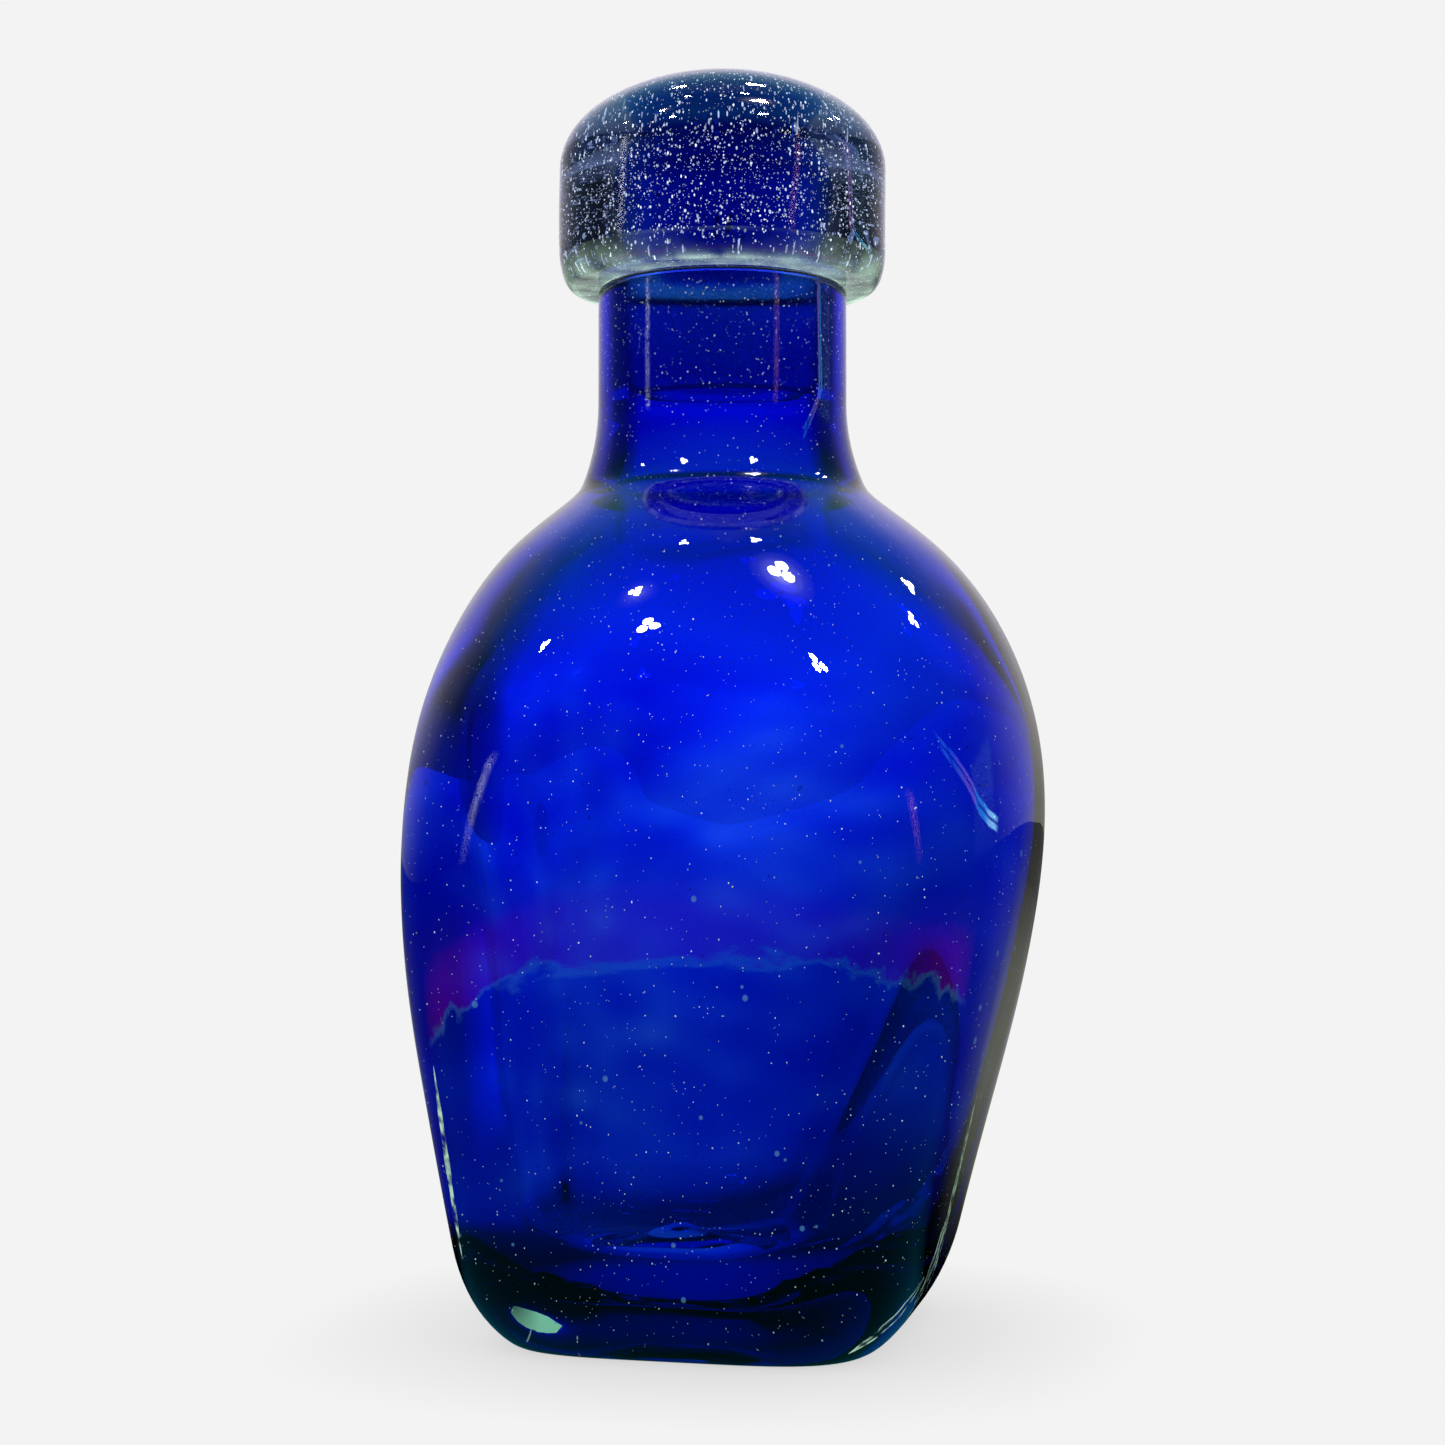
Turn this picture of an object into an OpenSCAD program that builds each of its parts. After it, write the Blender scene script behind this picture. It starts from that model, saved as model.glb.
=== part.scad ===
// Hand-blown square bottle with a lift-out glass stopper.
// The outside of the bottle is a thick gather of clear glass, and a thin layer of cobalt glass
// lines it. The stopper is the same two glasses: a cobalt core inside a domed clear head, on a
// ground plug that seats in the neck.
// Z is up, and Z = 0 is the surface that the bottle stands on. The Z axis runs through the middle
// of the widest part of the body. The neck and the foot stand a little off it, as they do on a
// bottle shaped by hand.

/* [Overall] */
// Height of the bottle without its stopper, to the rim of the neck
neck_top = 216; // [206:1:240]
// Height of the bottle with its stopper
overall_h = 260; // [252:1:290]

/* [Body] */
// Half the width across the flats at the widest height
belly_half = 63.3; // [56:0.1:70]
// Height of the widest part
belly_z = 111; // [100:1:115]
// Slope of the lower sides, as width lost per unit of height
taper = 0.22; // [0.12:0.01:0.26]
// How gently the lower sides turn into the belly
taper_ease = 6.5; // [2:0.1:15]
// Height of the shoulder, from the belly to where its curve would close
shoulder_h = 66.5; // [60:0.5:70]
// Roundness of the shoulder: 2 is an ellipse, more is fuller
shoulder_power = 2.22; // [2:0.01:2.6]
// Squareness of the lower body: 2 is round, more is squarer
squareness = 4.2; // [2.5:0.1:5]
// Height where the square section starts to turn round
square_to = 58; // [30:1:80]
// Height where the section is fully round
round_from = 158; // [140:1:170]
// Sideways offset of the foot from the belly
foot_shift = -4.4; // [-6:0.1:6]
// Sideways offset of the neck from the belly
neck_shift = -2.5; // [-4:0.1:4]

/* [Heel and floor] */
// How far the rounded heel draws in at the bottom
heel_in = 9.5; // [4:0.1:11]
// Height of the rounded heel
heel_h = 20; // [12:1:26]
// Radius of the push-up under the base, where it meets the foot
pushup_r = 29; // [20:1:31]
// Depth of the push-up
pushup_h = 8; // [4:0.5:9]
// Height of the inner floor where it meets the walls
floor_z = 13; // [11:0.5:16]
// Rise of the inner floor at its middle
floor_rise = 8; // [5:0.5:10]

/* [Walls] */
// Thickness of the clear casing at the foot, on the flats
casing_foot = 10; // [7:0.1:12]
// Thickness of the clear casing in the neck
casing_neck = 3.85; // [3:0.05:4.5]
// Thickness of the cobalt lining in the body
lining_body = 1.4; // [1:0.1:2]
// Thickness of the cobalt lining below the seat in the neck
lining_neck = 2.3; // [2:0.1:2.8]
// Squareness of the inside: less than the outside, so the corners are thick
inner_squareness = 2.7; // [2:0.1:3.2]
// How far the inside lies off the middle of the foot, towards -X. It comes back by the widest part.
inner_shift = 5; // [0:0.1:6]

/* [Neck] */
// Outer radius of the neck
neck_r = 25.85; // [24:0.05:28]
// Height where the neck becomes straight
neck_base = 192; // [185:1:193]
// Height of the flare below the straight neck
flare_h = 27; // [20:1:32]
// Radius that the neck gains over that flare
flare_r = 8.6; // [5:0.1:12]
// How softly the shoulder turns up into the neck
neck_blend = 7.5; // [4:0.1:12]
// Radius of the fire-polished edge of the rim
rim_round = 1.2; // [0.6:0.1:2]
// Ledge at the bottom of the ground seat, where the neck below it is narrower
seat_ledge = 0.2; // [0.1:0.05:0.3]
// Radius lost per unit of depth in the ground seat
seat_taper = 0.03; // [0.02:0.005:0.04]

/* [Stopper] */
// Largest radius of the head
head_r = 34; // [31:0.1:38]
// Height of the dome above the straight side of the head
dome_h = 19.4; // [14:0.1:22]
// How far the lower edge of the head draws in
head_edge_in = 3; // [1:0.1:5]
// Height of that rounded lower edge
head_edge_h = 8; // [4:0.5:10]
// Largest radius of the cobalt core in the head
core_r = 15; // [10:0.5:20]
// Radius of the core where it meets the plug
core_foot_r = 9.6; // [5:0.1:9.9]
// Clear glass above the core
core_cover = 7.5; // [5:0.5:12]
// Length of the ground plug, all of it within the straight neck
plug_h = 23; // [16:1:23]
// Gap between the plug and its seat
plug_gap = 0.3; // [0.25:0.05:0.5]
// Rounding at the foot of the plug
plug_round = 2; // [1:0.1:3]

/* [Hidden] */

// Facets: sides round a lofted ring, and steps along each stretch of an outline
sides = 48;
heel_steps = 5;
side_steps = 8;
shoulder_steps = 11;
flare_steps = 4;
floor_steps = 4;
edge_steps = 8;
rim_steps = 4;
dome_steps = 16;
cut = 1;

inner_heel_in = 17;
inner_heel_h = 15;
seat_bottom_r = neck_r - casing_neck - lining_neck + seat_ledge;
seat_bottom_z = neck_top - plug_h;
seat_top_r = seat_bottom_r + seat_taper * plug_h;
dome_z = overall_h - dome_h;
core_mid_z = neck_top + 0.44 * (overall_h - neck_top);
core_top_z = overall_h - core_cover;

function smoothstep(a, b, z) =
    let (s = min(1, max(0, (z - a) / (b - a))))
    s * s * (3 - 2 * s);

function mix(a, b, share) = a + (b - a) * share;

// The larger of a and b, with a fillet of width k where they cross
function smooth_max(a, b, k) =
    let (h = max(k - abs(a - b), 0) / k)
    max(a, b) + h * h * k / 4;

// How far a rounded edge of height h draws in by inset, at height z above its foot
function edge_inset(z, inset, h) =
    let (u = min(1, max(0, 1 - z / h)))
    inset * (1 - sqrt(1 - u * u));

function lower_half(z) =
    belly_half + taper_ease - sqrt(pow(taper_ease, 2) + pow(taper * (belly_z - z), 2));

function shoulder_half(z) =
    let (u = min(1, (z - belly_z) / shoulder_h))
    belly_half * pow(1 - pow(u, shoulder_power), 1 / shoulder_power);

function body_half(z) = z < belly_z ? lower_half(z) : shoulder_half(z);

function neck_half(z) =
    neck_r + flare_r * pow(min(1, max(0, (neck_base - z) / flare_h)), 2);

// Half the outer width across the flats at height z
function outer_half(z) =
    smooth_max(body_half(z) - edge_inset(z, heel_in, heel_h), neck_half(z), neck_blend);

function casing_wall(z) = mix(casing_foot, casing_neck, smoothstep(0, belly_z, z));

function lining_wall(z) = mix(lining_body, lining_neck, smoothstep(belly_z, neck_base, z));

// Half width of a surface that lies a depth inside the outside. On the shoulder it also lies lower.
function inside_half(z, depth, floor) =
    outer_half(z + depth * smoothstep(belly_z, belly_z + shoulder_h / 2, z))
    - depth - edge_inset(z - floor, inner_heel_in, inner_heel_h);

function section_power(z, low) = mix(low, 2, smoothstep(square_to, round_from, z));

// Sideways offset of the section's centre at height z
function drift(z) =
    z < belly_z ? mix(foot_shift, 0, smoothstep(0, belly_z, z))
                : mix(0, neck_shift, smoothstep(belly_z, neck_base, z));

function inner_drift(z) = drift(z) - inner_shift * (1 - smoothstep(0, belly_z, z));

function section_r(a, half, power) =
    half * pow(pow(abs(cos(a)), power) + pow(abs(sin(a)), power), -1 / power);

function ring(z, half, power, shift) =
    [for (i = [0:sides - 1])
        let (a = 360 * i / sides, r = section_r(a, half, power))
        [shift + r * cos(a), r * sin(a), z]];

function heel_heights(floor, h) =
    [for (i = [0:heel_steps]) floor + h * (1 - cos(90 * i / heel_steps))];

function side_heights(from) =
    [for (i = [1:side_steps]) mix(from, belly_z, i / side_steps)];

// Heights up the shoulder, closer together towards its top, and then up the flare of the neck
function shoulder_heights() =
    let (top = neck_base - 0.6 * flare_h)
    concat(
        [for (i = [1:shoulder_steps]) mix(belly_z, top, sin(90 * i / shoulder_steps))],
        [for (i = [1:flare_steps]) mix(top, neck_base, i / flare_steps)]
    );

function outer_rings() =
    [for (z = concat(heel_heights(0, heel_h), side_heights(heel_h), shoulder_heights()))
        ring(z, outer_half(z), section_power(z, squareness), drift(z))];

// The fire-polished edge of the rim
function rim_rings() =
    [for (i = [0:rim_steps])
        let (a = 90 * i / rim_steps)
        ring(neck_top - rim_round * (1 - sin(a)), neck_r - rim_round * (1 - cos(a)), 2, neck_shift)];

// An inner surface from its floor to just past the rim. It lies inside the outer surface by the
// casing's thickness, and by extra times the lining's.
function wall_rings(extra, floor) =
    [for (z = concat(heel_heights(floor, inner_heel_h), side_heights(floor + inner_heel_h),
                     shoulder_heights(), [neck_top + cut]))
        ring(z, inside_half(z, casing_wall(z) + extra * lining_wall(z), floor),
             section_power(z, inner_squareness), inner_drift(z))];

// The floor rises to its middle in a smooth swell
function floor_rings(extra, floor) =
    let (edge = inside_half(floor, casing_wall(floor) + extra * lining_wall(floor), floor))
    [for (i = [0:floor_steps - 1])
        let (share = (i + 0.2) / floor_steps)
        ring(floor + floor_rise * (1 + cos(180 * share)) / 2, edge * share,
             mix(2, inner_squareness, share), inner_drift(floor))];

// A closed solid through rings that all have the same number of points
module loft(rings) {
    last = (len(rings) - 1) * sides;
    polyhedron(
        points = [for (r = rings) each r],
        faces = concat(
            [[for (i = [0:sides - 1]) i]],
            [for (k = [0:len(rings) - 2], i = [0:sides - 1])
                [k * sides + i, (k + 1) * sides + i, (k + 1) * sides + (i + 1) % sides]],
            [for (k = [0:len(rings) - 2], i = [0:sides - 1])
                [k * sides + i, (k + 1) * sides + (i + 1) % sides, k * sides + (i + 1) % sides]],
            [[for (i = [sides - 1:-1:0]) last + i]]
        )
    );
}

// Turns an outline about the neck's own axis
module turned(outline) {
    translate([neck_shift, 0, 0]) rotate_extrude($fn = 96) polygon(outline);
}

// The outside of the bottle as one solid
module bottle_outside() {
    loft(concat(outer_rings(), rim_rings()));
}

// What the clear casing surrounds: the lining and all that it holds
module lined_space() {
    loft(concat(floor_rings(0, floor_z - lining_body), wall_rings(0, floor_z - lining_body)));
}

// The space that holds the drink, open at the rim, where the ground seat widens it
module cavity() {
    loft(concat(floor_rings(1, floor_z), wall_rings(1, floor_z)));
    translate([neck_shift, 0, seat_bottom_z])
        cylinder(
            h = plug_h + 2 * cut,
            r1 = seat_bottom_r,
            r2 = seat_top_r + 2 * cut * seat_taper,
            $fn = 96
        );
}

// The push-up is a shallow spherical hollow under the base
module pushup() {
    ball_r = (pow(pushup_r, 2) + pow(pushup_h, 2)) / (2 * pushup_h);
    translate([foot_shift, 0, pushup_h - ball_r]) sphere(r = ball_r, $fn = 96);
}

// Thick clear outer glass, with heavy corners and a heavy foot
module bottle_casing() {
    color([0.78, 0.9, 0.84, 0.5])
    difference() {
        bottle_outside();
        pushup();
        lined_space();
    }
}

// Thin cobalt glass inside the casing, from the floor to the rim
module bottle_lining() {
    color([0.02, 0.05, 0.75])
    difference() {
        intersection() {
            lined_space();
            translate([-2 * belly_half, -2 * belly_half, 0])
                cube([4 * belly_half, 4 * belly_half, neck_top]);
        }
        cavity();
    }
}

// Half outline of the core: an egg, cut flat where it meets the plug
function core_outline() =
    let (low_h = (core_mid_z - neck_top) / sqrt(1 - pow(core_foot_r / core_r, 2)))
    concat(
        [[0, neck_top]],
        [for (i = [0:edge_steps])
            let (z = mix(neck_top, core_mid_z, i / edge_steps), u = (core_mid_z - z) / low_h)
            [core_r * sqrt(1 - u * u), z]],
        [for (i = [1:dome_steps])
            let (a = 90 * i / dome_steps)
            [core_r * cos(a), core_mid_z + (core_top_z - core_mid_z) * sin(a)]]
    );

module stopper_core() {
    color([0.02, 0.05, 0.6])
    turned(core_outline());
}

// Domed clear head that rests on the rim of the neck
module stopper_head() {
    color([0.78, 0.9, 0.84, 0.5])
    difference() {
        turned(concat(
            [[0, neck_top]],
            [for (i = [0:edge_steps])
                let (a = 90 * i / edge_steps)
                [head_r - head_edge_in * (1 - sin(a)), neck_top + head_edge_h * (1 - cos(a))]],
            [for (i = [0:dome_steps])
                let (a = 90 * i / dome_steps)
                [head_r * cos(a), dome_z + dome_h * sin(a)]]
        ));
        turned(core_outline());
    }
}

// Ground plug that fills the seat of the neck
module stopper_plug() {
    foot_z = neck_top - plug_h;
    foot_r = seat_bottom_r - plug_gap;
    color([0.05, 0.1, 0.6])
    turned(concat(
        [[0, foot_z]],
        [for (i = [0:edge_steps])
            let (a = 90 * i / edge_steps)
            [foot_r - plug_round * (1 - sin(a)), foot_z + plug_round * (1 - cos(a))]],
        [[seat_top_r - plug_gap, neck_top], [0, neck_top]]
    ));
}

bottle_casing();
bottle_lining();
stopper_head();
stopper_core();
stopper_plug();
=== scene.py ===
"""Looks of a hand-blown bottle of cobalt glass cased in clear glass, with a lift-out glass stopper."""

import math

import bmesh
import bpy
import numpy as np
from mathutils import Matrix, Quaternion, Vector


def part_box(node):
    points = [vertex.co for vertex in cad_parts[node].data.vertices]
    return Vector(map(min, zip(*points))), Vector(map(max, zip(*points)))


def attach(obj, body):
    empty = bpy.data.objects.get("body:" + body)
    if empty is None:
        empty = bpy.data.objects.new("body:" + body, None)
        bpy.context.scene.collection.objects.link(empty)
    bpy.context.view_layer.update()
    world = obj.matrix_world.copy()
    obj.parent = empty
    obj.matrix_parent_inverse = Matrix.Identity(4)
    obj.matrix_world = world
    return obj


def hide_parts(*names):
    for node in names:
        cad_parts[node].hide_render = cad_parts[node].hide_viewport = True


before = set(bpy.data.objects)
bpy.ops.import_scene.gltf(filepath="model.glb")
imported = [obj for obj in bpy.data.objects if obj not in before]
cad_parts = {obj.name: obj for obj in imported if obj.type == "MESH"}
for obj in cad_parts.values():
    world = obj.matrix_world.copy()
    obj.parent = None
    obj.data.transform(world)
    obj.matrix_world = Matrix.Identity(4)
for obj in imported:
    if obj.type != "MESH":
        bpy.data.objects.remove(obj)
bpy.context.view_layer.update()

# ---- Sizes, in metres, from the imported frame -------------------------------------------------

MM = 0.001
casing_lo, casing_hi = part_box("bottle_casing")
lining_lo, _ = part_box("bottle_lining")
head_lo, head_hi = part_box("stopper_head")
core_lo, core_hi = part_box("stopper_core")
plug_lo, plug_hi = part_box("stopper_plug")

BELLY_HALF = (casing_hi.x - casing_lo.x) / 2
NECK_TOP = casing_hi.z
FLOOR_LINED = lining_lo.z
TOP = head_hi.z
HEAD_R = (head_hi.x - head_lo.x) / 2
CORE_R = (core_hi.x - core_lo.x) / 2
PLUG_R = (plug_hi.x - plug_lo.x) / 2
NECK_X = (head_lo.x + head_hi.x) / 2

# The same driving sizes that shape the CAD bottle
BELLY_Z = 111 * MM
TAPER = 0.22
TAPER_EASE = 6.5 * MM
SHOULDER_H = 66.5 * MM
SHOULDER_POWER = 2.22
SQUARENESS = 4.2
INNER_SQUARENESS = 2.7
SQUARE_TO = 58 * MM
ROUND_FROM = 158 * MM
FOOT_X = -4.4 * MM
HEEL_IN = 9.5 * MM
HEEL_H = 20 * MM
PUSHUP_R = 29 * MM
PUSHUP_H = 8 * MM
FLOOR_RISE = 8 * MM
INNER_HEEL_IN = 17 * MM
INNER_HEEL_H = 15 * MM
INNER_SHIFT = 5 * MM
CASING_FOOT = 10 * MM
CASING_NECK = 3.85 * MM
LINING_BODY = 1.4 * MM
LINING_NECK = 2.3 * MM
NECK_R = 25.85 * MM
NECK_BASE = 192 * MM
FLARE_H = 27 * MM
FLARE_R = 8.6 * MM
NECK_BLEND = 7.5 * MM
RIM_ROUND = 1.2 * MM
SEAT_LEDGE = 0.2 * MM
SEAT_TAPER = 0.03
PLUG_GAP = 0.3 * MM
PLUG_ROUND = 2 * MM
DOME_H = 19.4 * MM
HEAD_EDGE_IN = 3 * MM
HEAD_EDGE_H = 8 * MM
CORE_FOOT_R = 9.6 * MM
CORE_WIDEST = 0.44

FLOOR = FLOOR_LINED + LINING_BODY
PLUG_H = NECK_TOP - plug_lo.z
SEAT_BOTTOM_R = NECK_R - CASING_NECK - LINING_NECK + SEAT_LEDGE
SEAT_TOP_R = SEAT_BOTTOM_R + SEAT_TAPER * PLUG_H
REST_GAP = 0.1 * MM
DOME_Z = TOP - DOME_H
UNDERSIDE = NECK_TOP + REST_GAP


def smoothstep(a, b, z):
    s = np.clip((z - a) / (b - a), 0, 1)
    return s * s * (3 - 2 * s)


def mix(a, b, share):
    return a + (b - a) * share


def smooth_max(a, b, k):
    h = np.maximum(k - np.abs(a - b), 0) / k
    return np.maximum(a, b) + h * h * k / 4


def edge_inset(z, inset, h):
    """How far a quarter-ellipse edge of height h draws in at height z."""
    u = np.clip(1 - z / h, 0, 1)
    return inset * (1 - np.sqrt(1 - u * u))


def outer_half(z):
    """Half the outer width across the flats at height z."""
    slope = np.sqrt(TAPER_EASE**2 + (TAPER * (BELLY_Z - z)) ** 2)
    lower = BELLY_HALF + TAPER_EASE - slope
    u = np.clip((z - BELLY_Z) / SHOULDER_H, 0, 1)
    shoulder = BELLY_HALF * (1 - u**SHOULDER_POWER) ** (1 / SHOULDER_POWER)
    body = np.where(z < BELLY_Z, lower, shoulder) - edge_inset(z, HEEL_IN, HEEL_H)
    neck = NECK_R + FLARE_R * np.clip((NECK_BASE - z) / FLARE_H, 0, 1) ** 2
    return smooth_max(body, neck, NECK_BLEND)


def casing_wall(z):
    return mix(CASING_FOOT, CASING_NECK, smoothstep(0, BELLY_Z, z))


def lining_wall(z):
    return mix(LINING_BODY, LINING_NECK, smoothstep(BELLY_Z, NECK_BASE, z))


def whole_wall(z):
    return casing_wall(z) + lining_wall(z)


def inside_half(z, depth, floor):
    """Half width of a surface that lies a depth inside the outside."""
    lowered = z + depth * smoothstep(BELLY_Z, BELLY_Z + SHOULDER_H / 2, z)
    return outer_half(lowered) - depth - edge_inset(z - floor, INNER_HEEL_IN, INNER_HEEL_H)


def section_power(z, low):
    """The section's squareness at height z: low near the foot, and 2, a circle, in the neck."""
    return mix(low, 2, smoothstep(SQUARE_TO, ROUND_FROM, z))


def section_radius(half, power, c, s):
    """From a section's centre to its outline, in the direction with cosine c and sine s."""
    return half * (np.abs(c) ** power + np.abs(s) ** power) ** (-1 / power)


def drift(z):
    """Sideways offset of the section's centre at height z."""
    below = mix(FOOT_X, 0, smoothstep(0, BELLY_Z, z))
    above = mix(0, NECK_X, smoothstep(BELLY_Z, NECK_BASE, z))
    return np.where(z < BELLY_Z, below, above)


def inner_drift(z):
    """The same for the cavity and the cobalt layer, which lie off the middle near the foot."""
    return drift(z) - INNER_SHIFT * (1 - smoothstep(0, BELLY_Z, z))


def head_outline(z):
    """Radius of the head at height z."""
    if z > DOME_Z:
        return HEAD_R * math.sqrt(max(0.0, 1 - ((z - DOME_Z) / DOME_H) ** 2))
    u = min(1.0, max(0.0, 1 - (z - UNDERSIDE) / HEAD_EDGE_H))
    return HEAD_R - HEAD_EDGE_IN * (1 - math.sqrt(1 - u * u))


def core_outline(z):
    """Radius of the cobalt core at height z."""
    middle = mix(core_lo.z, TOP, CORE_WIDEST)
    if z > middle:
        return CORE_R * math.sqrt(max(0.0, 1 - ((z - middle) / (core_hi.z - middle)) ** 2))
    low_h = (middle - core_lo.z) / math.sqrt(1 - (CORE_FOOT_R / CORE_R) ** 2)
    return CORE_R * math.sqrt(1 - ((middle - z) / low_h) ** 2)


# ---- Hand-made unevenness ----------------------------------------------------------------------


def waves(seed, count, shortest, longest, flatten=1.0):
    """Plane waves of random direction: flatten above 1 draws them out sideways."""
    draw = np.random.default_rng(seed)
    direction = draw.normal(size=(count, 3))
    direction[:, 2] *= flatten
    direction /= np.linalg.norm(direction, axis=1)[:, None]
    length = shortest * (longest / shortest) ** draw.random(count)
    return direction * (2 * math.pi / length)[:, None], draw.random(count) * 2 * math.pi


def wobble(points, field):
    """A smooth uneven height, about -1 to 1, at each point."""
    numbers, phases = field
    total = np.zeros(points.shape[:-1])
    for k, phase in zip(numbers, phases):
        total += np.sin(points @ k + phase)
    return total / math.sqrt(len(phases)) * 0.7


OUTER_WAVES = waves(3, 9, 45 * MM, 130 * MM)
INNER_WAVES = waves(5, 12, 22 * MM, 80 * MM)
STREAK_WAVES = waves(8, 16, 9 * MM, 42 * MM, flatten=4.0)
HEAD_WAVES = waves(11, 8, 18 * MM, 60 * MM)

OUTER_UNEVEN = 0.22 * MM
NECK_UNEVEN = 0.1 * MM
PUSHUP_UNEVEN = 0.12 * MM
INNER_UNEVEN = 0.35 * MM
STREAK_UNEVEN = 0.3 * MM
HEAD_UNEVEN = 0.25 * MM
CORE_UNEVEN = 0.4 * MM

# ---- Mesh building -----------------------------------------------------------------------------

SIDES = 160
FIRST_RING_R = 0.4 * MM


def smooth_mesh(name, points, faces):
    data = bpy.data.meshes.new(name)
    data.from_pydata(points, [], faces)
    data.polygons.foreach_set("use_smooth", [True] * len(faces))
    data.update()
    return data


def ring_faces(a, b, sides):
    """Faces between two rings whose first points are numbers a and b."""
    i = np.arange(sides)
    j = (i + 1) % sides
    return np.stack([a + i, a + j, b + j, b + i], axis=1).tolist()


def ring_points(z, half, power, shift):
    """Points round one rounded-square section, and the outward direction at each."""
    a = np.linspace(0, 2 * math.pi, SIDES, endpoint=False)
    c, s = np.cos(a), np.sin(a)
    r = section_radius(half, power, c, s)
    points = np.stack([shift + r * c, r * s, np.full(SIDES, z)], axis=1)
    return points, np.stack([c, s, np.zeros(SIDES)], axis=1)


class Skin:
    """Rings laid one after another into a closed skin, with a point at each end."""

    def __init__(self):
        self.rings = []
        self.slots = []

    def add(self, z, half, power=2.0, shift=NECK_X, slot=0, uneven=0.0, field=None, up=False):
        """One ring. Its unevenness runs outwards, or upwards where up is set."""
        points, out = ring_points(z, half, power, shift)
        if uneven:
            height = wobble(points, field)[:, None] * uneven
            points = points + (height * np.array([0, 0, 1]) if up else height * out)
        self.rings.append(points)
        self.slots.append(slot)

    def mesh(self, name):
        """The rings as one closed mesh. Rings run so that the skin's outside is on their left."""
        rings = np.array(self.rings)
        count = len(rings)
        points = np.concatenate([rings.reshape(-1, 3), [rings[0].mean(0), rings[-1].mean(0)]])
        i = np.arange(SIDES)
        j = (i + 1) % SIDES
        faces = []
        slots = []
        for k in range(count - 1):
            faces += ring_faces(k * SIDES, (k + 1) * SIDES, SIDES)
            slots += [self.slots[k]] * SIDES
        first, last, top = count * SIDES, count * SIDES + 1, (count - 1) * SIDES
        faces += np.stack([np.full(SIDES, first), j, i], axis=1).tolist()
        faces += np.stack([np.full(SIDES, last), top + i, top + j], axis=1).tolist()
        slots += [self.slots[0]] * SIDES + [self.slots[-1]] * SIDES
        data = smooth_mesh(name, points.tolist(), faces)
        data.polygons.foreach_set("material_index", slots)
        return data


def steps(a, b, count, ends=True):
    return np.linspace(a, b, count, endpoint=ends)


def quarter(a, b, count):
    """Angles through a quarter turn, from share a to share b of it."""
    return steps(a, b, count) * math.pi / 2


# ---- The bottle --------------------------------------------------------------------------------

WALL_STEP = 1.6 * MM
FOOT_EDGE = 1.0 * MM
SEAT_EDGE = 0.4 * MM
# The cobalt layer lies this far under the surface of the cavity
EMBED = 0.05 * MM
# The seat and the walls begin this far under the rim
UNDER_RIM = 2 * MM


def lay_outside(skin):
    """From the middle of the push-up, out to the foot and up to the rim."""
    ball_r = (PUSHUP_R**2 + PUSHUP_H**2) / (2 * PUSHUP_H)
    for r in steps(FIRST_RING_R, PUSHUP_R - FOOT_EDGE, 22):
        z = PUSHUP_H - ball_r + math.sqrt(ball_r**2 - r * r)
        skin.add(z, r, 2.0, FOOT_X, 0, PUSHUP_UNEVEN * (1 - r / PUSHUP_R), INNER_WAVES, up=True)
    for share in steps(0, 1, 8):
        half = mix(PUSHUP_R, outer_half(0.0) - FOOT_EDGE, share)
        skin.add(0.0, half, mix(2.0, SQUARENESS, share), FOOT_X)
    for a in quarter(0.08, 1, 14):
        z = HEEL_H * (1 - math.cos(a))
        uneven = OUTER_UNEVEN * min(1.0, z / HEEL_H)
        skin.add(z, outer_half(z), SQUARENESS, drift(z), 0, uneven, OUTER_WAVES)
    for z in np.arange(HEEL_H + WALL_STEP, NECK_TOP - RIM_ROUND, WALL_STEP):
        uneven = mix(OUTER_UNEVEN, NECK_UNEVEN, smoothstep(BELLY_Z, NECK_BASE, z))
        skin.add(z, outer_half(z), section_power(z, SQUARENESS), drift(z), 0, uneven, OUTER_WAVES)
    for a in quarter(0, 1, 7):
        half = NECK_R - RIM_ROUND * (1 - math.cos(a))
        skin.add(NECK_TOP - RIM_ROUND * (1 - math.sin(a)), half, slot=1)


def lay_floor(skin, depth, floor, shares, uneven, field, lift=0.0):
    """The domed floor, at each share of the way from its middle to its edge."""
    edge = inside_half(floor, depth, floor)
    for share in shares:
        z = floor + FLOOR_RISE * (1 + math.cos(math.pi * share)) / 2
        power = mix(2.0, INNER_SQUARENESS, share)
        skin.add(z + lift, edge * share, power, inner_drift(floor), 0, uneven, field, up=True)


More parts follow.
